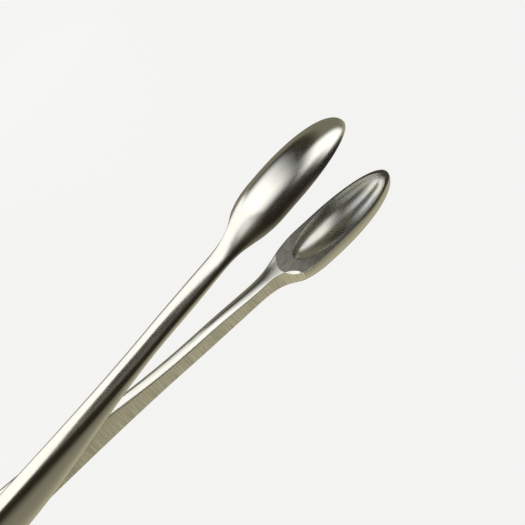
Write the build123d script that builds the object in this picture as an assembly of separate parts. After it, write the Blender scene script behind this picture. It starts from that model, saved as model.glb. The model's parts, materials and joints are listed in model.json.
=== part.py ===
from build123d import *
import math
import os

# Print tongs: two crossing one-piece arms with cup jaws and finger rings, held by one pivot screw.
# Each arm is drawn in its own frame: pivot axis = Z through the origin, +X towards the jaw, jaws shut,
# the mid plane between the two arms at y = 0, its flat lap face at z = 0. Sizes in millimetres.

# --- driving dimensions ---
jaw_reach = 108.0        # pivot axis to jaw tip
half_open = 4.84         # each arm's swing from shut to rest, degrees
lap_gap = 0.06           # clearance between the two lap faces

oval_middle = 1.28       # height of the shank oval's centre above the lap plane
oval_half = 2.4          # half height of that oval, which the lap face cuts flat
shank_middle = 1.95      # shank's centre line to the mid plane, away from the joint
shank_flat = 1.65        # half width of the shank's lap face
joint_flat = 4.6         # half width of the lap face at the pivot
joint_power = 3.0        # the plate's section is boxier than an ellipse (2)
joint_end = 54.0         # where the joint plate has narrowed to the shank

neck_start = 72.0        # where the shank starts to swell into the jaw
jaw_widest = 90.0        # where the jaw starts to narrow towards the tip
jaw_half = 5.36          # jaw's largest half width
jaw_deep = 5.8           # jaw's largest depth from rim to back
tip_power = 2.2          # tip's rounding: 2 is an ellipse, more is blunter
toe_in = 0.99            # the tips meet before the heels, degrees
tip_gap = 0.06           # rim to mid plane at the tip
heel_x = 81.8            # where the jaw's flat rim begins
ramp_long = 1.8          # ramp from the neck's inner face up to the rim
relief_deep = 0.35       # the neck's inner face stands this far back from the rim
shoulder_x = 76.0        # where the lap face turns down into the jaw's shoulder
shoulder_radius = 6.2

cup_middle = 94.9        # hollow's centre
cup_long = 12.0          # hollow's half length
cup_half = 4.57          # hollow's half width
cup_deep = 4.9           # hollow's depth below the rim

ring_middle = -87.5      # finger ring's centre along the arm
ring_radius = 12.6       # centre line of the ring's round bar
ring_bar = 2.0           # radius of that bar
ring_clear = 0.7         # bar to mid plane when shut
tail_start = -60.0       # where the rear shank starts to turn into the ring's bar
tail_radius = 14.0       # easing of the lap face into the bar

screw_radius = 1.75      # pivot screw's shank
screw_clear = 0.05       # running clearance in the upper arm
thread_bite = 0.05       # the lower arm's tapped hole is this much smaller
seat_high = 3.3          # spot face for the head, above the lap plane
seat_radius = 3.45
head_radius = 3.1
head_high = 1.1
head_round = 0.5
head_gap = 0.05          # head to its seat
slot_wide = 0.7
slot_deep = 0.6
end_high = 3.5           # screw's end, below the lap plane

# --- places that follow from them ---
lap_z = lap_gap / 2
ring_y = -(ring_clear + ring_bar + ring_radius)
swing = math.radians(half_open)
front_x = jaw_reach * math.cos(swing)
rear_x = ring_middle * math.cos(swing) - ring_y * math.sin(swing) - ring_radius - ring_bar
pivot_x = -(front_x + rear_x) / 2   # the box from rings to tips is centred on the origin
pivot_z = jaw_half                  # the jaws' sides reach down to the surface it lies on
far = 40.0                          # reach of the cutting blocks beyond the part


def rim_y(x):
    """Rim plane's distance from the mid plane at x."""
    return tip_gap + (jaw_reach - x) * math.tan(math.radians(toe_in))


def eased(x, start, end, before, after):
    """A value that goes smoothly from one level to another between two places along the arm."""
    share = min(1.0, max(0.0, (x - start) / (end - start)))
    return before + (after - before) * share * share * (3 - 2 * share)


def shank_oval(x):
    """Centre (y, z), half sizes (y, z) and power of the section between ring and neck."""
    away = abs(x)
    power = eased(away, 0, joint_end, joint_power, 2)
    flat = eased(away, 3, joint_end, joint_flat, shank_flat)
    cut_share = (1 - (oval_middle / oval_half) ** power) ** (1 / power)
    middle = math.copysign(eased(away, 10, 60, 0, shank_middle), x)
    return middle, oval_middle, flat / cut_share, oval_half, power


def front_oval(x):
    """The same for the neck and the jaw, up to where the jaw is widest."""
    y, z, wide, high, power = shank_oval(neck_start)
    widest = rim_y(jaw_widest)
    middle = eased(x, neck_start, 85, y, widest)
    back = eased(x, neck_start + 1, 87, y + wide, widest + jaw_deep)
    top = eased(x, 74.5, 86.5, z + high, jaw_half)
    z_middle = eased(x, neck_start, 84, z, 0)
    return middle, z_middle, back - middle, top - z_middle, 2


def tip_oval(turn):
    """Place along the arm and section of the jaw's end: both outlines are superellipses."""
    x = jaw_widest + (jaw_reach - jaw_widest) * math.sin(turn) ** (2 / tip_power)
    share = math.cos(turn) ** (2 / tip_power)
    return x, (rim_y(x), 0, jaw_deep * share, jaw_half * share, 2)


def tail_oval(x):
    """The same for the tail, which turns from the rear shank into the ring's round bar."""
    y, z, wide, high, power = shank_oval(tail_start)
    bar_y = ring_y + ring_radius
    inset = 0.05                     # keeps the tail's end inside the ring
    end = ring_middle + 8
    return (eased(-x, -tail_start, -end, y, bar_y), eased(-x, -tail_start, -end, z, 0),
            eased(-x, -tail_start, -end, wide, ring_bar - inset),
            eased(-x, -tail_start, -end, high, ring_bar - inset), 2)


def oval_wire(x, oval):
    """Closed superellipse across the arm at x."""
    y, z, wide, high, power = oval
    points = []
    for degrees in range(0, 360, 15):
        turn = math.radians(degrees)
        out = math.copysign(abs(math.cos(turn)) ** (2 / power), math.cos(turn))
        up = math.copysign(abs(math.sin(turn)) ** (2 / power), math.sin(turn))
        points.append((x, y + wide * out, z + high * up))
    return Wire([Spline(*points, periodic=True)])


def bar_body():
    """The arm before any face is cut flat: ovals carried from the ring to the jaw's tip."""
    wires = [oval_wire(x, tail_oval(x)) for x in (ring_middle, -84, -80, -76, -72, -68, -64)]
    wires += [oval_wire(x, shank_oval(x)) for x in range(int(tail_start), int(neck_start), 4)]
    wires += [oval_wire(x, front_oval(x)) for x in (72, 73.5, 75, 76.5, 78, 79.5, 81, 82.5, 84, 85.5, 87)]
    wires += [oval_wire(*tip_oval(math.radians(7.9 * i))) for i in range(11)]
    return Solid.make_loft(wires)


def lap_cutter():
    """Everything below the lap face, eased into the tail and hollowed out under the jaw's shoulder."""
    block = Box(shoulder_x - tail_start, far, far, align=(Align.MIN, Align.CENTER, Align.MAX))
    shoulder = Cylinder(shoulder_radius, far, rotation=(90, 0, 0))
    tail = Cylinder(tail_radius, far, rotation=(90, 0, 0))
    return (Location((tail_start, 0, lap_z)) * block
            + Location((shoulder_x, 0, lap_z - shoulder_radius)) * shoulder
            + Location((tail_start, 0, lap_z - tail_radius)) * tail)


def rim_cutter():
    """Everything on the mid plane's side of the rim, and of the neck's relieved inner face."""
    ramp_x = heel_x - ramp_long
    corners = [(neck_start - 6, -far), (neck_start - 6, 0), (neck_start, 0.4),
               (ramp_x, rim_y(ramp_x) + relief_deep), (heel_x, rim_y(heel_x)),
               (jaw_reach + far, rim_y(jaw_reach + far)), (jaw_reach + far, -far)]
    return extrude(make_face(Polyline(*corners, close=True)), amount=far / 2, dir=(0, 0, 1), both=True)


def cup():
    """Half-egg hollow of the jaw, centred on the rim plane."""
    egg = scale(Sphere(1), by=(cup_long, cup_deep, cup_half))
    return Location((cup_middle, rim_y(cup_middle), 0), (0, 0, -toe_in)) * egg


def forged_arm(hole_radius):
    """The whole one-piece arm, with its hole for the pivot screw."""
    arm = bar_body() - lap_cutter() - rim_cutter() - cup()
    arm += Location((ring_middle, ring_y, 0)) * Torus(ring_radius, ring_bar)
    return arm - Cylinder(hole_radius, far)


def screw_seat():
    """Spot face under the screw's head."""
    return Location((0, 0, seat_high)) * Cylinder(seat_radius, far, align=(Align.CENTER, Align.CENTER, Align.MIN))


def pivot_screw():
    """Slotted screw: its head lies on the upper arm's seat and its end stops inside the lower arm."""
    standing = (Align.CENTER, Align.CENTER, Align.MIN)
    head = Cylinder(head_radius, head_high, align=standing)
    head = fillet(head.edges().sort_by(Axis.Z)[-1], head_round)
    head -= Location((0, 0, head_high)) * Box(3 * head_radius, slot_wide, 2 * slot_deep)
    head_low = seat_high + head_gap
    shaft = Cylinder(screw_radius, end_high + head_low, align=standing)
    return Location((0, 0, head_low)) * head + Location((0, 0, -end_high)) * shaft


place = Location((pivot_x, 0, pivot_z))
upper = forged_arm(screw_radius + screw_clear) - screw_seat()
lower = Rot(180, 0, 0) * forged_arm(screw_radius - thread_bite)
parts = {
    "upper_arm": place * Rot(0, 0, half_open) * upper,
    "lower_arm": place * Rot(0, 0, -half_open) * lower,
    "pivot_screw": place * Rot(0, 0, -half_open) * pivot_screw(),
}
os.makedirs("parts", exist_ok=True)
for name, shape in parts.items():
    export_step(shape, f"parts/{name}.step")
    print(name, "solids", len(shape.solids()), "volume", round(shape.volume, 1))
print("pivot at", round(pivot_x, 3), 0, pivot_z)
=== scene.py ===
import json
import math

import bmesh
import bpy
import numpy as np
from mathutils import Matrix, Vector


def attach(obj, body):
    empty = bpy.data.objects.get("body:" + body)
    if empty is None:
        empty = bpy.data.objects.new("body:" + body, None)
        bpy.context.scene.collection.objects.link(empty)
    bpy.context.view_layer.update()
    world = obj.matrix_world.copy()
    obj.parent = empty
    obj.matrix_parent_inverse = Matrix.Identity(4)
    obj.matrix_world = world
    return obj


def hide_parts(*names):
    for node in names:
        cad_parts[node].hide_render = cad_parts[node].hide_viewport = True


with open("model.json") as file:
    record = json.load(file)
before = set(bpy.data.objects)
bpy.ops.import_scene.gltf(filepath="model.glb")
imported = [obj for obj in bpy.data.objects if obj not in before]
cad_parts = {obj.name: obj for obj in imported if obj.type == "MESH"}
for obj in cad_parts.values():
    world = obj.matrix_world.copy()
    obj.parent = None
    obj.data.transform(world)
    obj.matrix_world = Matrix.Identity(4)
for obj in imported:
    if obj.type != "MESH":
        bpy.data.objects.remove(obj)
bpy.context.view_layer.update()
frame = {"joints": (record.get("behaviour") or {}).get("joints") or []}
mm = 0.001

# The tongs lie on their jaws' sides. Each arm is drawn in its own frame, in millimetres: the pivot's
# axis is Z through the origin, +X runs to the jaw, y = 0 is the mid plane with the jaws shut, and
# z = 0 is the lap plane. The lower arm is the upper one turned half a turn about X.
pivot = Vector(frame["joints"][0]["pos_m"])
halfOpen = math.radians(4.84)


def srgb(code):
    # hex colour to linear: c/12.92 below 0.04045, else ((c + 0.055) / 1.055) ** 2.4
    parts = np.array([int(code[i:i + 2], 16) for i in (1, 3, 5)]) / 255
    linear = np.where(parts <= 0.04045, parts / 12.92, ((parts + 0.055) / 1.055) ** 2.4)
    return (*[float(c) for c in linear], 1.0)


def addNode(tree, kind, settings=None, links=None):
    # one node: settings are its attributes or input values, links are input name -> (node, output name)
    node = tree.nodes.new(kind)
    for name, value in (settings or {}).items():
        if isinstance(name, int) or name in node.inputs:
            node.inputs[name].default_value = value
        else:
            setattr(node, name, value)
    for name, (source, output) in (links or {}).items():
        tree.links.new(source.outputs[output], node.inputs[name])
    return node


def eased(x, start, end, before, after):
    # smooth step: level before, then s*s*(3-2s), then level after
    share = np.clip((x - start) / (end - start), 0, 1)
    return before + (after - before) * share * share * (3 - 2 * share)


def flowed(x, start, end, before, after):
    # smoother step s^3 (10 - 15 s + 6 s^2), stretched by about a quarter, so that reflections flow
    stretch = 1.24
    middle, half = (start + end) / 2, (end - start) * stretch / 2
    share = np.clip((x - middle + half) / (2 * half), 0, 1)
    return before + (after - before) * share ** 3 * (10 - 15 * share + 6 * share ** 2)


def addObject(name, data):
    thing = bpy.data.objects.new(name, data)
    bpy.context.scene.collection.objects.link(thing)
    return thing


def emptyTree(owner):
    # the cleared node tree of a material or world
    owner.use_nodes = True
    owner.node_tree.nodes.clear()
    return owner.node_tree


def meshFrom(name, points, faces, materialIndex):
    # points in metres, faces as quads; doubles are merged, so poles and seams close
    mesh = bpy.data.meshes.new(name)
    mesh.from_pydata(points.tolist(), [], faces.tolist())
    mesh.polygons.foreach_set("material_index", materialIndex)
    work = bmesh.new()
    work.from_mesh(mesh)
    bmesh.ops.remove_doubles(work, verts=work.verts, dist=1e-7)
    bmesh.ops.recalc_face_normals(work, faces=work.faces)
    work.to_mesh(mesh)
    work.free()
    mesh.update()
    return addObject(name, mesh)


def gridFaces(rows, columns, closedAcross=False, closedAlong=False):
    # quads of a grid of rows x columns points, wrapped round where it is closed
    i = np.arange(rows if closedAlong else rows - 1)[:, None]
    j = np.arange(columns if closedAcross else columns - 1)[None, :]
    down, right = (i + 1) % rows, (j + 1) % columns
    corners = [i * columns + j, i * columns + right, down * columns + right, down * columns + j]
    return np.stack([np.broadcast_to(c, (i.size, j.size)) for c in corners], -1).reshape(-1, 4)


def combine(target, tool, operation):
    # one exact boolean, applied at once; the tool object goes away
    step = target.modifiers.new("combine", "BOOLEAN")
    step.operation = operation
    step.solver = "EXACT"
    step.object = tool
    bpy.context.view_layer.objects.active = target
    bpy.ops.object.modifier_apply(modifier=step.name)
    bpy.data.objects.remove(tool)


def finishPiece(piece, place, materials, sharpAngle):
    # "ownPlace" keeps each point's place in the piece's own frame, in millimetres, for the patterns
    mesh = piece.data
    own = np.empty(len(mesh.vertices) * 3)
    mesh.vertices.foreach_get("co", own)
    mesh.attributes.new("ownPlace", "FLOAT_VECTOR", "POINT").data.foreach_set("vector", own / mm)
    mesh.transform(place)
    mesh.polygons.foreach_set("use_smooth", np.ones(len(mesh.polygons), bool))
    mesh.set_sharp_from_angle(angle=math.radians(sharpAngle))
    kinds = np.empty(len(mesh.polygons), int)
    mesh.polygons.foreach_get("material_index", kinds)
    mesh.materials.clear()
    for material in materials:
        mesh.materials.append(material)
    mesh.polygons.foreach_set("material_index", kinds)
    mesh.update()


def streaks(tree, place, along, across, seed, detail=3.0):
    # noise drawn out in the piece's own frame: its size in millimetres along x, and across it in y and z
    sized = addNode(tree, "ShaderNodeMapping",
                    {"Scale": (1 / along, 1 / across, 1 / across), "Location": (seed,) * 3},
                    {"Vector": (place, "Vector")})
    return addNode(tree, "ShaderNodeTexNoise", {"Scale": 1.0, "Detail": detail, "Roughness": 0.55},
                   {"Vector": (sized, "Vector")})


def steel(name, finish):
    # two bumps of drawn-out noise, long waves and fine grain; the grain also steers the roughness, and a
    # third noise leads the tint from warm to cool
    material = bpy.data.materials.new(name)
    tree = emptyTree(material)
    place = addNode(tree, "ShaderNodeAttribute", {"attribute_name": "ownPlace"})
    wander = streaks(tree, place, *finish["tintSize"], 7.0, 2.0)
    spread = addNode(tree, "ShaderNodeMapRange", {"From Min": 0.35, "From Max": 0.65},
                     {"Value": (wander, "Fac")})
    tint = addNode(tree, "ShaderNodeMix",
                   {"data_type": "RGBA", 6: srgb(finish["warm"]), 7: srgb(finish["cool"])},
                   {0: (spread, "Result")})
    grain = streaks(tree, place, *finish["grainSize"], 3.0)
    smooth, dull = finish["rough"]
    rough = addNode(tree, "ShaderNodeMapRange",
                    {"From Min": 0.3, "From Max": 0.7, "To Min": smooth, "To Max": dull},
                    {"Value": (grain, "Fac")})
    waves = streaks(tree, place, *finish["waveSize"], 11.0, 1.0)
    wavy = addNode(tree, "ShaderNodeBump", {"Strength": 1.0, "Distance": finish["waveDeep"] * mm},
                   {"Height": (waves, "Fac")})
    scored = addNode(tree, "ShaderNodeBump", {"Strength": 1.0, "Distance": finish["grainDeep"] * mm},
                     {"Height": (grain, "Fac"), "Normal": (wavy, "Normal")})
    shader = addNode(tree, "ShaderNodeBsdfPrincipled",
                     {"Metallic": finish["metal"], "Anisotropic": finish["drawn"],
                      "Anisotropic Rotation": 0.25},
                     {"Base Color": (tint, 2), "Roughness": (rough, "Result"),
                      "Normal": (scored, "Normal")})
    addNode(tree, "ShaderNodeOutputMaterial", {}, {"Surface": (shader, "BSDF")})
    return material


def turnedSteel(name, finish):
    # lathe rings: noise read along the distance from the screw's axis; stains wander over them
    material = bpy.data.materials.new(name)
    tree = emptyTree(material)
    place = addNode(tree, "ShaderNodeAttribute", {"attribute_name": "ownPlace"})
    flat = addNode(tree, "ShaderNodeVectorMath", {"operation": "MULTIPLY", 1: (1, 1, 0)},
                   {0: (place, "Vector")})
    reach = addNode(tree, "ShaderNodeVectorMath", {"operation": "LENGTH"}, {0: (flat, "Vector")})
    rings = addNode(tree, "ShaderNodeTexNoise",
                    {"noise_dimensions": "1D", "Scale": 1 / finish["ringPitch"], "Detail": 2.0},
                    {"W": (reach, "Value")})
    stains = addNode(tree, "ShaderNodeTexNoise", {"Scale": 1 / finish["stainSize"], "Detail": 3.0},
                     {"Vector": (place, "Vector")})
    tint = addNode(tree, "ShaderNodeMix",
                   {"data_type": "RGBA", 6: srgb(finish["warm"]), 7: srgb(finish["cool"])},
                   {0: (stains, "Fac")})
    smooth, dull = finish["rough"]
    rough = addNode(tree, "ShaderNodeMapRange", {"To Min": smooth, "To Max": dull},
                    {"Value": (stains, "Fac")})
    turned = addNode(tree, "ShaderNodeBump", {"Strength": 1.0, "Distance": finish["ringDeep"] * mm},
                     {"Height": (rings, "Fac")})
    shader = addNode(tree, "ShaderNodeBsdfPrincipled", {"Metallic": 1.0},
                     {"Base Color": (tint, 2), "Roughness": (rough, "Result"),
                      "Normal": (turned, "Normal")})
    addNode(tree, "ShaderNodeOutputMaterial", {}, {"Surface": (shader, "BSDF")})
    return material


# every size below is in millimetres: noise along and across the arm, depths and ring pitch

# turned stainless steel: fine lathe rings round the slot, a little brighter than the arms
turnedHead = {"warm": "#DEDBD0", "cool": "#CDCCC8", "stainSize": 1.2, "rough": (0.20, 0.32),
              "ringPitch": 0.09, "ringDeep": 0.004}

# satin forged stainless steel: long soft highlights with faint lines along the arm
satinForged = {"warm": "#DDDBD3", "cool": "#D6D6D3", "tintSize": (14, 4),
               "grainSize": (3.4, 0.16), "grainDeep": 0.0005, "waveSize": (16, 3.2), "waveDeep": 0.010,
               "rough": (0.17, 0.23), "drawn": 0.0, "metal": 1.0}

# ground stainless steel: a dull flat rim with short scratches; its base colour, greyer than the back's,
# is painted shade
rimWithPaintedShade = {"warm": "#A9A69B", "cool": "#8E8D88", "tintSize": (1.2, 0.35),
             "grainSize": (1.6, 0.12), "grainDeep": 0.006, "waveSize": (6, 3), "waveDeep": 0.004,
             "rough": (0.32, 0.42), "drawn": 0.0, "metal": 1.0}

# buffed stainless steel: a hollow with soft bright streaks and polishing lines along it; its base colour,
# darker than the back's, is painted shade in the hollow
cupWithPaintedShade = {"warm": "#CCCABD", "cool": "#B9BBBC", "tintSize": (6, 1.6),
             "grainSize": (3.0, 0.14), "grainDeep": 0.0007, "waveSize": (7, 2.4), "waveDeep": 0.003,
             "rough": (0.21, 0.28), "drawn": 0.0, "metal": 1.0}

# belt-ground stainless steel: a matt, warm lap face with ticks straight across the arm. It is only partly
# metallic, and its pale warm base colour is painted sheen, standing for the bright surroundings it
# reflects; real ticks are finer than these
lapWithPaintedSheen = {"warm": "#F6F0D4", "cool": "#D0CCB2", "tintSize": (0.26, 6),
             "grainSize": (0.24, 4.5), "grainDeep": 0.007, "waveSize": (2.6, 8), "waveDeep": 0.004,
             "rough": (0.42, 0.56), "drawn": 0.6, "metal": 0.35}

# the rim and the cup carry painted shade in their darker base colours, the lap painted sheen in its pale
# one
armSteels = [steel("satin forged stainless steel", satinForged),
             steel("ground stainless steel rim with painted shade", rimWithPaintedShade),
             steel("buffed stainless steel cup with painted shade", cupWithPaintedShade),
             steel("cross-ground stainless steel lap with painted sheen", lapWithPaintedSheen)]
screwSteel = turnedSteel("turned stainless steel screw", turnedHead)
print("steels", len(armSteels) + 1)


arm = {
    "jawReach": 108.0, "lapZ": 0.03,
    # shank: oval's middle and half height above the lap plane, half width of the lap face, and where
    # the shank leaves the mid plane
    "ovalMiddle": 1.28, "ovalHalf": 2.4, "shankFlat": 1.65,
    "shankMiddle": 1.95, "crossStart": 10.0, "crossEnd": 60.0,
    # plate at the pivot
    "jointFlat": 4.6, "jointPower": 3.0, "jointStart": 3.0, "jointEnd": 54.0,
    # neck and jaw: where each of the section's sizes starts and ends its change
    "neckStart": 72.0, "middleChange": (72, 85), "backChange": (73, 87), "topChange": (74.5, 86.5),
    "heightChange": (72, 84),
    "jawWidest": 90.0, "jawHalf": 5.36, "jawDeep": 5.8, "tipPower": 2.2,
    "toeIn": math.radians(0.99), "tipGap": 0.06,
    # mid-plane side of the neck: a hollow, then a swelling that the rim's plane cuts
    "reliefStart": 60.0, "reliefX": 76.5, "reliefDeep": 0.8, "bulgeX": 85.0, "bulgeY": -0.2,
    "shoulderX": 76.0, "shoulderRadius": 6.2,
    "cupMiddle": 94.9, "cupLong": 12.0, "cupHalf": 4.57, "cupDeep": 4.6,
    "ringMiddle": -87.5, "ringRadius": 12.6, "ringBar": 2.0, "ringClear": 0.7,
    "tailStart": -60.0, "tailEnd": -79.5, "tailRadius": 14.0, "tailInset": 0.05,
    "holeRadius": 1.8, "pressRadius": 1.7, "seatRadius": 3.45, "seatHigh": 3.3,
    "edgeRound": 0.12,      # broken edges of the lap face, the rim and the cup
    "sharpAngle": 40,
}
# points across the section's parts, and round the ring and its bar
counts = {"turn": 25, "tailTurn": 15, "cupAlong": 61, "section": 97, "back": 64, "flank": 18, "lap": 14,
          "rim": 9, "bowl": 121, "cup": 49, "ring": 144, "bar": 40, "bore": 96}
ringY = -(arm["ringClear"] + arm["ringBar"] + arm["ringRadius"])


def rimY(x):
    # rim plane: tip gap + (reach - x) * tan(toe-in)
    return arm["tipGap"] + (arm["jawReach"] - x) * math.tan(arm["toeIn"])


def shankOval(x):
    # centre y, z, half sizes y, z and power of the superellipse from the ring's tail to the neck
    away = np.abs(x)
    power = eased(away, 0, arm["jointEnd"], arm["jointPower"], 2)
    flat = eased(away, arm["jointStart"], arm["jointEnd"], arm["jointFlat"], arm["shankFlat"])
    cutShare = (1 - (arm["ovalMiddle"] / arm["ovalHalf"]) ** power) ** (1 / power)
    middle = np.sign(x) * eased(away, arm["crossStart"], arm["crossEnd"], 0, arm["shankMiddle"])
    same = np.ones_like(x)
    return np.stack([middle, arm["ovalMiddle"] * same, flat / cutShare, arm["ovalHalf"] * same, power])


def frontOval(x):
    # neck and jaw as far as its widest place: every size eases from the shank's to the jaw's
    y, z, wide, high, power = shankOval(np.array([arm["neckStart"]]))[:, 0]
    widest = rimY(arm["jawWidest"])
    middle = flowed(x, *arm["middleChange"], y, widest)
    back = flowed(x, *arm["backChange"], y + wide, widest + arm["jawDeep"])
    top = flowed(x, *arm["topChange"], z + high, arm["jawHalf"])
    zMiddle = flowed(x, *arm["heightChange"], z, 0)
    return np.stack([middle, zMiddle, back - middle, top - zMiddle, 2 * np.ones_like(x)])


def tipOval(x):
    # superellipse outline: share = (1 - u^p)^(1/p), u from 0 at the widest place to 1 at the tip
    along = np.clip((x - arm["jawWidest"]) / (arm["jawReach"] - arm["jawWidest"]), 0, 1)
    share = (1 - along ** arm["tipPower"]) ** (1 / arm["tipPower"])
    return np.stack([rimY(x), 0 * x, arm["jawDeep"] * share, arm["jawHalf"] * share,
                     2 * np.ones_like(x)])


def tailOval(x):
    # rear shank easing into the ring's round bar
    y, z, wide, high, power = shankOval(np.array([arm["tailStart"]]))[:, 0]
    bar = arm["ringBar"] - arm["tailInset"]
    sizes = [eased(-x, -arm["tailStart"], -arm["tailEnd"], a, b)
             for a, b in ((y, ringY + arm["ringRadius"]), (z, 0), (wide, bar), (high, bar))]
    return np.stack(sizes + [2 * np.ones_like(x)])


def ovals(x):
    # the law of the stretch that each station lies in
    pick = [x < arm["tailStart"], x < arm["neckStart"], x < arm["jawWidest"]]
    laws = [tailOval(x), shankOval(x), frontOval(x)]
    return np.select([p[None, :] for p in pick], laws, tipOval(x))


def lapHeight(x):
    # lap face: flat between tail and shoulder, and beyond them a round hollow of the shoulder's or the
    # tail's radius
    front = np.clip((x - arm["shoulderX"]) / arm["shoulderRadius"], 0, 1)
    rear = np.clip((arm["tailStart"] - x) / arm["tailRadius"], 0, 1)
    shoulder = arm["shoulderRadius"] * (1 - np.sqrt(1 - front ** 2))
    tail = arm["tailRadius"] * (1 - np.sqrt(1 - rear ** 2))
    return arm["lapZ"] - (shoulder + tail)


def innerLine(x):
    # mid-plane side of the neck at mid height: hollows away, then swells past the rim's plane
    hollow = flowed(x, arm["reliefStart"], arm["reliefX"], 0, arm["reliefDeep"])
    return hollow + flowed(x, arm["reliefX"], arm["bulgeX"], 0, arm["bulgeY"] - arm["reliefDeep"])


def stations():
    # places along the arm: even along the shanks, by equal turns round heel, shoulder, cup and tip
    heelLong, closest = 3.0, 0.02
    turn = np.linspace(0, math.pi / 2, counts["turn"])
    tipLong = arm["jawReach"] - arm["jawWidest"]
    tip = arm["jawWidest"] + tipLong * np.sin(turn) ** (2 / arm["tipPower"])
    shoulder = arm["shoulderX"] + arm["shoulderRadius"] * np.sin(turn)
    tail = arm["tailStart"] - arm["tailRadius"] * np.sin(turn[:counts["tailTurn"]])
    # the heel begins where the swelling of the neck's mid-plane side first reaches the rim's plane
    fine = np.linspace(arm["reliefX"], arm["bulgeX"], 4001)
    heelX = fine[np.argmax(innerLine(fine) < rimY(fine))]
    heel = heelX + heelLong * (1 - np.cos(turn))
    hollow = arm["cupMiddle"] - arm["cupLong"] * np.cos(np.linspace(0, math.pi, counts["cupAlong"]))
    even = np.concatenate([np.arange(arm["ringMiddle"], arm["neckStart"], 1.0),
                           np.arange(arm["neckStart"], arm["jawReach"], 0.5)])
    fixed = np.sort([arm["ringMiddle"], arm["tailStart"], arm["neckStart"], heelX, arm["jawWidest"],
                     arm["shoulderX"] + arm["shoulderRadius"], arm["cupMiddle"] - arm["cupLong"],
                     arm["cupMiddle"] + arm["cupLong"], arm["jawReach"]])
    loose = np.sort(np.concatenate([tip, shoulder, tail, heel, hollow, even]))
    loose = loose[np.abs(loose[:, None] - fixed[None, :]).min(1) > closest]
    loose = loose[np.concatenate([[True], np.diff(loose) > closest])]
    return np.sort(np.concatenate([loose, fixed]))


def onOval(oval, inner, turn):
    # superellipse point: centre + half size * sign(c) |c|^(2/power); the mid-plane side has a half size
    # of its own
    y, z, wide, high, power = [part[:, None] for part in oval]
    c, s = np.cos(turn), np.sin(turn)
    return np.stack([y + np.where(c < 0, inner[:, None], wide) * np.sign(c) * np.abs(c) ** (2 / power),
                     z + high * np.sign(s) * np.abs(s) ** (2 / power)], -1)


def trimmed(line, before, after, count):
    # resamples each row's polyline at equal steps, leaving out a length at each end. The rows are laid
    # far apart on one long measure, so one interpolation serves them all
    step = np.linalg.norm(np.diff(line, axis=1), axis=2)
    run = np.concatenate([np.zeros((len(line), 1)), np.cumsum(step, 1)], 1)
    long = run[:, -1]
    before, after = np.minimum(before, 0.3 * long), np.minimum(after, 0.3 * long)
    want = before[:, None] + (long - before - after)[:, None] * np.linspace(0, 1, count)
    apart = 1000.0 * np.arange(len(line))[:, None]
    measure, asked = (run + apart).ravel(), (want + apart).ravel()
    return np.stack([np.interp(asked, measure, line[..., axis].ravel()).reshape(want.shape)
                     for axis in (0, 1)], -1)


def corner(before, sharp, after, count=3):
    # broken edge: a quadratic curve from the end of one side to the start of the next
    t = np.linspace(0, 1, count + 2)[1:-1][None, :, None]
    return (1 - t) ** 2 * before[:, None] + 2 * t * (1 - t) * sharp[:, None] + t ** 2 * after[:, None]


def straight(start, end, count):
    # even steps on a line in every row
    return start[:, None] + (end - start)[:, None] * np.linspace(0, 1, count)[None, :, None]


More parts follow.
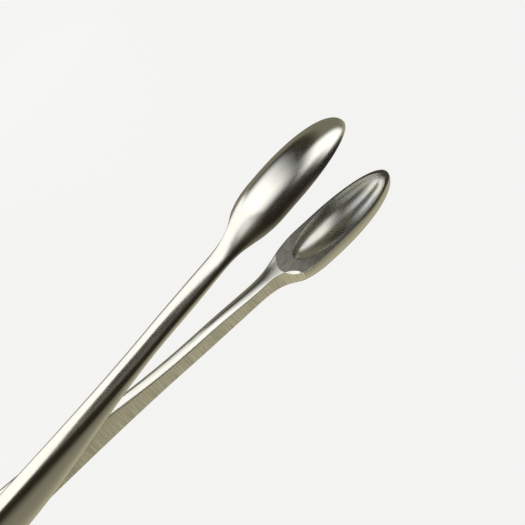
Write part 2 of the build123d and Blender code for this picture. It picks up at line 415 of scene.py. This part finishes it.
def armGrid():
    # rows are stations, columns run round the section: back, rim with its cup, inner flank, lap face
    x = stations()
    oval = ovals(x)
    y, z, wide, high, power = oval
    rim = rimY(x)
    onNeck = (x > arm["reliefStart"] - 3) & (x < arm["jawWidest"])
    inner = np.where(onNeck, y - innerLine(x), wide)
    lapShare = (lapHeight(x) - z) / np.maximum(high, 1e-9)
    lapTurn = np.sign(lapShare) * np.arcsin(np.clip(np.abs(lapShare), 0, 1) ** (power / 2))
    # the rim's plane cuts the section at this turn, or only touches its middle where nothing reaches it
    cutShare = np.clip((y - rim) / np.maximum(inner, 1e-9), 0, 1)
    cutShare = np.where(x < arm["reliefX"], 1, cutShare)
    cutTurn = math.pi - np.arccos(cutShare ** (power / 2))
    free = np.linspace(0, 1, counts["section"])[None, :]

    def along(start, end):
        return onOval(oval, inner, start[:, None] + (end - start)[:, None] * free)

    backSide = along(lapTurn, cutTurn)
    flankSide = along(2 * math.pi - cutTurn, math.pi - lapTurn)
    top, bottom = backSide[:, -1], flankSide[:, 0]
    edge = arm["edgeRound"] * np.minimum(1, wide)
    rimEdge = edge * (1 - cutShare)
    back = trimmed(backSide, edge, rimEdge, counts["back"])
    flank = trimmed(flankSide, rimEdge, edge, counts["flank"])
    lapFace = trimmed(straight(flankSide[:, -1], backSide[:, 0], 3), edge, edge, counts["lap"])

    # the cup: z = half * cos(turn), depth = deep * sin(turn), both times sqrt(1 - u^2) along the jaw
    place = np.clip((x - arm["cupMiddle"]) / arm["cupLong"], -1, 1)
    share = np.sqrt(1 - place ** 2)
    middle = np.where((share > 0)[:, None], np.stack([rim, 0 * x], 1), (top + bottom) / 2)
    cupEdge = np.stack([0 * x, arm["cupHalf"] * share], 1)
    lip = np.minimum(edge, 0.3 * arm["cupHalf"] * share)
    lipStep = lip[:, None] * np.array([0, 1])
    inward = np.minimum(rimEdge, 0.3 * np.linalg.norm(top - middle, axis=1))[:, None] * np.array([0, 1])
    upperRim = straight(top - inward, middle + cupEdge + lipStep, counts["rim"])
    lowerRim = straight(middle - cupEdge - lipStep, bottom + inward, counts["rim"])
    turn = np.linspace(0, math.pi, counts["bowl"])
    bowlShape = np.stack([arm["cupDeep"] * np.sin(turn), arm["cupHalf"] * np.cos(turn)], -1)
    bowl = middle[:, None] + share[:, None, None] * bowlShape[None]
    hollow = trimmed(bowl, lip, lip, counts["cup"])
    # materials by column: 0 satin back and flank, 1 ground rim with painted shade, 2 buffed cup with
    # painted shade, 3 ground lap face with painted sheen
    parts = [(back, 0), (corner(back[:, -1], top, upperRim[:, 0]), 0), (upperRim, 1),
             (corner(upperRim[:, -1], middle + cupEdge, hollow[:, 0]), 2), (hollow, 2),
             (corner(hollow[:, -1], middle - cupEdge, lowerRim[:, 0]), 2), (lowerRim, 1),
             (corner(lowerRim[:, -1], bottom, flank[:, 0]), 0), (flank, 0),
             (corner(flank[:, -1], flankSide[:, -1], lapFace[:, 0]), 0), (lapFace, 3),
             (corner(lapFace[:, -1], backSide[:, 0], back[:, 0]), 0)]
    yz = np.concatenate([p for p, _ in parts], 1)
    kinds = np.concatenate([[k] * p.shape[1] for p, k in parts])
    points = np.concatenate([np.broadcast_to(x[:, None, None], yz.shape[:2] + (1,)), yz], -1)
    return points, kinds


def armMesh(name):
    # the grid closed round the section; its two ends are capped
    points, kinds = armGrid()
    rows, columns = points.shape[:2]
    faces = gridFaces(rows, columns, closedAcross=True)
    piece = meshFrom(name, points.reshape(-1, 3) * mm, faces, np.tile(kinds, rows - 1))
    work = bmesh.new()
    work.from_mesh(piece.data)
    openEdges = [e for e in work.edges if e.is_boundary]
    bmesh.ops.holes_fill(work, edges=openEdges, sides=0)
    bmesh.ops.recalc_face_normals(work, faces=work.faces)
    work.to_mesh(piece.data)
    work.free()
    return piece


def ringMesh():
    # torus: centre line of the ring's radius, bar round it
    around, across = counts["ring"], counts["bar"]
    a = np.linspace(0, 2 * math.pi, around, endpoint=False)[:, None]
    b = np.linspace(0, 2 * math.pi, across, endpoint=False)[None, :]
    reach = arm["ringRadius"] + arm["ringBar"] * np.cos(b)
    points = np.stack([arm["ringMiddle"] + reach * np.cos(a), ringY + reach * np.sin(a),
                       arm["ringBar"] * np.sin(b) + 0 * a], -1)
    faces = gridFaces(around, across, True, True)
    return meshFrom("ring", points.reshape(-1, 3) * mm, faces, np.zeros(len(faces), int))


def drill(radius, low, high):
    # round cutter along the pivot's axis between two heights
    work = bmesh.new()
    bmesh.ops.create_cone(work, cap_ends=True, segments=counts["bore"], radius1=radius * mm,
                          radius2=radius * mm, depth=(high - low) * mm,
                          matrix=Matrix.Translation((0, 0, (high + low) / 2 * mm)))
    mesh = bpy.data.meshes.new("cutter")
    work.to_mesh(mesh)
    work.free()
    return addObject("cutter", mesh)


def forgedArm(name, node, body, place, holeRadius, seat):
    # arm and ring in one, drilled for the screw, with a counterbored seat for its head where asked
    past = 9.0      # the drills reach well past the arm
    piece = armMesh(name)
    combine(piece, ringMesh(), "UNION")
    combine(piece, drill(holeRadius, -past, past), "DIFFERENCE")
    if seat:
        combine(piece, drill(arm["seatRadius"], arm["seatHigh"], past), "DIFFERENCE")
    finishPiece(piece, place, armSteels, arm["sharpAngle"])
    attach(piece, body)
    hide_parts(node)
    print(name, len(piece.data.polygons), "faces")


screw = {
    "headRadius": 3.1, "headLow": 3.35, "headHigh": 1.1, "headRound": 0.5, "crown": 0.12,
    "underEdge": 0.12,      # broken edge under the head
    "shaftRadius": 1.74, "shaftLow": -3.45, "chamfer": 0.35,
    "slotWide": 0.7, "slotDeep": 0.6,
    "around": 128, "sharpAngle": 30,
}


def screwProfile():
    # radius and height from the shaft's chamfered end up to the head: a quarter round at its rim, then a
    # crown that sinks with the square of the radius
    turn = np.linspace(0, math.pi / 2, 13)
    headTop = screw["headLow"] + screw["headHigh"]
    flat = screw["headRadius"] - screw["headRound"]
    rim = np.stack([flat + screw["headRound"] * np.cos(turn),
                    headTop - screw["crown"] - screw["headRound"] * (1 - np.sin(turn))])
    inward = np.linspace(flat, 0, 12)[1:]
    crown = np.stack([inward, headTop - screw["crown"] * (inward / flat) ** 2])
    below = np.array([[0, screw["shaftLow"]],
                      [screw["shaftRadius"] - screw["chamfer"], screw["shaftLow"]],
                      [screw["shaftRadius"], screw["shaftLow"] + screw["chamfer"]],
                      [screw["shaftRadius"], screw["headLow"]],
                      [screw["headRadius"] - screw["underEdge"], screw["headLow"]],
                      [screw["headRadius"], screw["headLow"] + screw["underEdge"]]]).T
    return np.concatenate([below, rim, crown], 1)


def slotCutter():
    # block along X, as wide as the slot, from the slot's floor up past the head
    long, high = 12.0, 3.0
    work = bmesh.new()
    bmesh.ops.create_cube(work, size=1.0)
    mesh = bpy.data.meshes.new("slot")
    work.to_mesh(mesh)
    work.free()
    floorZ = screw["headLow"] + screw["headHigh"] - screw["slotDeep"]
    mesh.transform(Matrix.Translation((0, 0, (floorZ + high / 2) * mm))
                   @ Matrix.Diagonal((long * mm, screw["slotWide"] * mm, high * mm, 1)))
    return addObject("slot", mesh)


def slottedScrew():
    # the profile turned round Z: x = radius cos a, y = radius sin a; then the slot is cut
    radius, height = screwProfile()
    a = np.linspace(0, 2 * math.pi, screw["around"], endpoint=False)[None, :]
    points = np.stack([radius[:, None] * np.cos(a), radius[:, None] * np.sin(a),
                       height[:, None] + 0 * a], -1)
    faces = gridFaces(len(height), screw["around"], closedAcross=True)
    piece = meshFrom("pivot_screw_turned", points.reshape(-1, 3) * mm, faces, np.zeros(len(faces), int))
    combine(piece, slotCutter(), "DIFFERENCE")
    finishPiece(piece, Matrix.Translation(pivot), [screwSteel], screw["sharpAngle"])
    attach(piece, "lower")
    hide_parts("pivot_screw")
    print(piece.name, len(piece.data.polygons), "faces")


upperPlace = Matrix.Translation(pivot) @ Matrix.Rotation(halfOpen, 4, "Z")
lowerPlace = (Matrix.Translation(pivot) @ Matrix.Rotation(-halfOpen, 4, "Z")
              @ Matrix.Rotation(math.pi, 4, "X"))
forgedArm("upper_arm_forging", "upper_arm", "upper", upperPlace, arm["holeRadius"], True)
slottedScrew()
forgedArm("lower_arm_forging", "lower_arm", "lower", lowerPlace, arm["pressRadius"], False)


# metres, degrees (azimuth from +Y towards +X) and millimetres for the lens
view = {"target": (0.0740136, -0.0019702, 0.00536), "distance": 0.289578,
        "azimuth": 1.612, "elevation": 44.284, "roll": 135.363, "lens": 101.82}


def addCamera():
    # looks from the front of the jaws, above, and rolled so that the tongs run up to the right
    az, el = math.radians(view["azimuth"]), math.radians(view["elevation"])
    back = Vector((math.sin(az) * math.cos(el), math.cos(az) * math.cos(el), math.sin(el)))
    level = Vector((0, 0, 1)).cross(back).normalized()
    roll = math.radians(view["roll"])
    upright = back.cross(level)
    right = math.cos(roll) * level + math.sin(roll) * upright
    up = back.cross(right)
    turn = Matrix((right, up, back)).transposed().to_4x4()
    lens = bpy.data.cameras.new("camera")
    lens.lens = view["lens"]
    lens.sensor_width = 36
    lens.clip_start = 0.01
    camera = addObject("camera", lens)
    camera.matrix_world = Matrix.Translation(Vector(view["target"]) + view["distance"] * back) @ turn
    bpy.context.scene.camera = camera
    print("camera", round(view["distance"], 3), "m from the tongs")


paleGrey = "#F4F4F3"        # the sheet, and what the camera sees past it

# surroundings painted over one another by direction, in degrees: azimuth from +Y towards +X, elevation,
# half width, half height, softness of the edge, colour and brightness
surroundings = {
    "room":
        {"at": (0, 0), "half": (400, 200), "soft": (1, 1), "colour": "#84806F", "bright": 1.0},
    "roomBehind":
        {"at": (180, -2), "half": (66, 30), "soft": (26, 26), "colour": "#BCB79D", "bright": 1.0},
    "darkAbove":
        {"at": (0, 90), "half": (400, 34), "soft": (1, 13), "colour": "#221B0F", "bright": 1.0},
    "darkGap":
        {"at": (0, -2), "half": (26, 68), "soft": (8, 9), "colour": "#30291B", "bright": 1.0},
    "paleWall":
        {"at": (-55, -14), "half": (24, 54), "soft": (8, 14), "colour": "#FFFFFD", "bright": 1.5},
    "softboxHigh":
        {"at": (64, 46), "half": (46, 22), "soft": (10, 10), "colour": "#FFFFFB", "bright": 1.6},
    "darkCorner":
        {"at": (142, 48), "half": (22, 20), "soft": (8, 8), "colour": "#1C1A14", "bright": 1.0},
}


def addSurroundings():
    # each patch covers what is under it: share = eased box edge across times eased box edge up
    world = bpy.data.worlds.new("studio")
    bpy.context.scene.world = world
    tree = emptyTree(world)
    toward = addNode(tree, "ShaderNodeTexCoord")
    parts = addNode(tree, "ShaderNodeSeparateXYZ", {}, {0: (toward, "Generated")})
    azimuth = addNode(tree, "ShaderNodeMath", {"operation": "ARCTAN2"},
                      {0: (parts, "X"), 1: (parts, "Y")})
    elevation = addNode(tree, "ShaderNodeMath", {"operation": "ARCSINE"}, {0: (parts, "Z")})
    painted = None
    for name, patch in surroundings.items():
        shares = []
        for angle, *sizes in zip((azimuth, elevation), patch["at"], patch["half"], patch["soft"]):
            middle, half, soft = (math.radians(v) for v in sizes)
            away = addNode(tree, "ShaderNodeMath", {"operation": "SUBTRACT", 1: middle},
                           {0: (angle, 0)})
            turned = addNode(tree, "ShaderNodeMath", {"operation": "WRAP", 1: math.pi, 2: -math.pi},
                             {0: (away, 0)})
            size = addNode(tree, "ShaderNodeMath", {"operation": "ABSOLUTE"}, {0: (turned, 0)})
            shares.append(addNode(tree, "ShaderNodeMapRange",
                                  {"interpolation_type": "SMOOTHSTEP", "From Min": half + soft,
                                   "From Max": half - soft, "To Min": 0.0, "To Max": 1.0},
                                  {"Value": (size, 0)}))
        share = addNode(tree, "ShaderNodeMath", {"operation": "MULTIPLY"},
                        {0: (shares[0], "Result"), 1: (shares[1], "Result")})
        glow = (*[c * patch["bright"] for c in srgb(patch["colour"])[:3]], 1.0)
        under = {6: (painted, 2)} if painted else {}
        painted = addNode(tree, "ShaderNodeMix", {"data_type": "RGBA", "name": name, 7: glow},
                          {0: (share, 0), **under})
    light = addNode(tree, "ShaderNodeBackground", {}, {"Color": (painted, 2)})
    plain = addNode(tree, "ShaderNodeBackground", {"Color": srgb(paleGrey)})
    path = addNode(tree, "ShaderNodeLightPath")
    both = addNode(tree, "ShaderNodeMixShader", {},
                   {0: (path, "Is Camera Ray"), 1: (light, 0), 2: (plain, 0)})
    addNode(tree, "ShaderNodeOutputWorld", {}, {"Surface": (both, 0)})
    print("surroundings", len(surroundings), "patches")


# half side and height in metres; glow and matt are shares
sheet = {"half": 6.0, "low": -0.0004, "glow": 0.975, "matt": 0.04}


def addFloor():
    # pale seamless sheet, lit evenly from below as on a light table, so it shows next to no shadow
    half, low = sheet["half"], sheet["low"]
    mesh = bpy.data.meshes.new("floor")
    mesh.from_pydata([(-half, -half, low), (half, -half, low), (half, half, low), (-half, half, low)],
                     [], [(0, 1, 2, 3)])
    floor = addObject("floor", mesh)
    material = bpy.data.materials.new("white light table")
    tree = emptyTree(material)
    glow = addNode(tree, "ShaderNodeEmission", {"Color": srgb(paleGrey), "Strength": sheet["glow"]})
    matt = addNode(tree, "ShaderNodeBsdfDiffuse", {"Color": (*[sheet["matt"]] * 3, 1)})
    both = addNode(tree, "ShaderNodeAddShader", {}, {0: (glow, 0), 1: (matt, 0)})
    addNode(tree, "ShaderNodeOutputMaterial", {}, {"Surface": (both, 0)})
    mesh.materials.append(material)
    floor.visible_glossy = False
    floor.visible_shadow = False


# two white cards close in front of the tongs, seen in reflections only. "away" is their place along Y,
# and the outline runs along X and up, in millimetres; "fade" is where the glow starts and where it is
# full, for the right, the lower and the upper edge
whiteCards = {
    "card by the shanks": {
        "away": 60.0, "bright": 1.4, "fade": {"right": (66, 58), "low": (-151, -150), "high": (100, 99)},
        "outline": [(-70, -150), (58, -150), (58, 50), (52, 24), (44, 4), (34, -2), (24, -1), (12, 15),
                    (4, 39), (-14, 76), (-70, 100)]},
    "card by the jaws": {
        "away": 60.0, "bright": 1.6, "fade": {"right": (101, 76), "low": (-96, -12), "high": (112, 24)},
        "outline": [(58, -96), (102, -96), (102, 112), (58, 112)]},
}


def addCards():
    # flat polygons that glow: brightness times each edge's share, eased from its start to its full place
    for name, card in whiteCards.items():
        points = [(x * mm, card["away"] * mm, z * mm) for x, z in card["outline"]]
        mesh = bpy.data.meshes.new(name)
        mesh.from_pydata(points, [], [list(range(len(points)))])
        piece = addObject(name, mesh)
        material = bpy.data.materials.new("lit " + name)
        tree = emptyTree(material)
        place = addNode(tree, "ShaderNodeTexCoord")
        parts = addNode(tree, "ShaderNodeSeparateXYZ", {}, {0: (place, "Object")})
        shares = []
        for side, axis, most in (("right", "X", card["bright"]), ("low", "Z", 1.0), ("high", "Z", 1.0)):
            start, full = card["fade"][side]
            shares.append(addNode(tree, "ShaderNodeMapRange",
                                  {"interpolation_type": "SMOOTHSTEP", "From Min": start * mm,
                                   "From Max": full * mm, "To Max": most}, {"Value": (parts, axis)}))
        right, low, high = shares
        lower = addNode(tree, "ShaderNodeMath", {"operation": "MULTIPLY"},
                        {0: (right, "Result"), 1: (low, "Result")})
        glow = addNode(tree, "ShaderNodeMath", {"operation": "MULTIPLY"},
                       {0: (lower, "Value"), 1: (high, "Result")})
        light = addNode(tree, "ShaderNodeEmission", {"Color": srgb("#FFFFFC")},
                        {"Strength": (glow, "Value")})
        addNode(tree, "ShaderNodeOutputMaterial", {}, {"Surface": (light, 0)})
        mesh.materials.append(material)
        piece.visible_camera = False
        piece.visible_shadow = False
    print("cards", len(whiteCards))


addCamera()
addSurroundings()
addCards()
addFloor()
bpy.context.scene.view_settings.view_transform = "Standard"
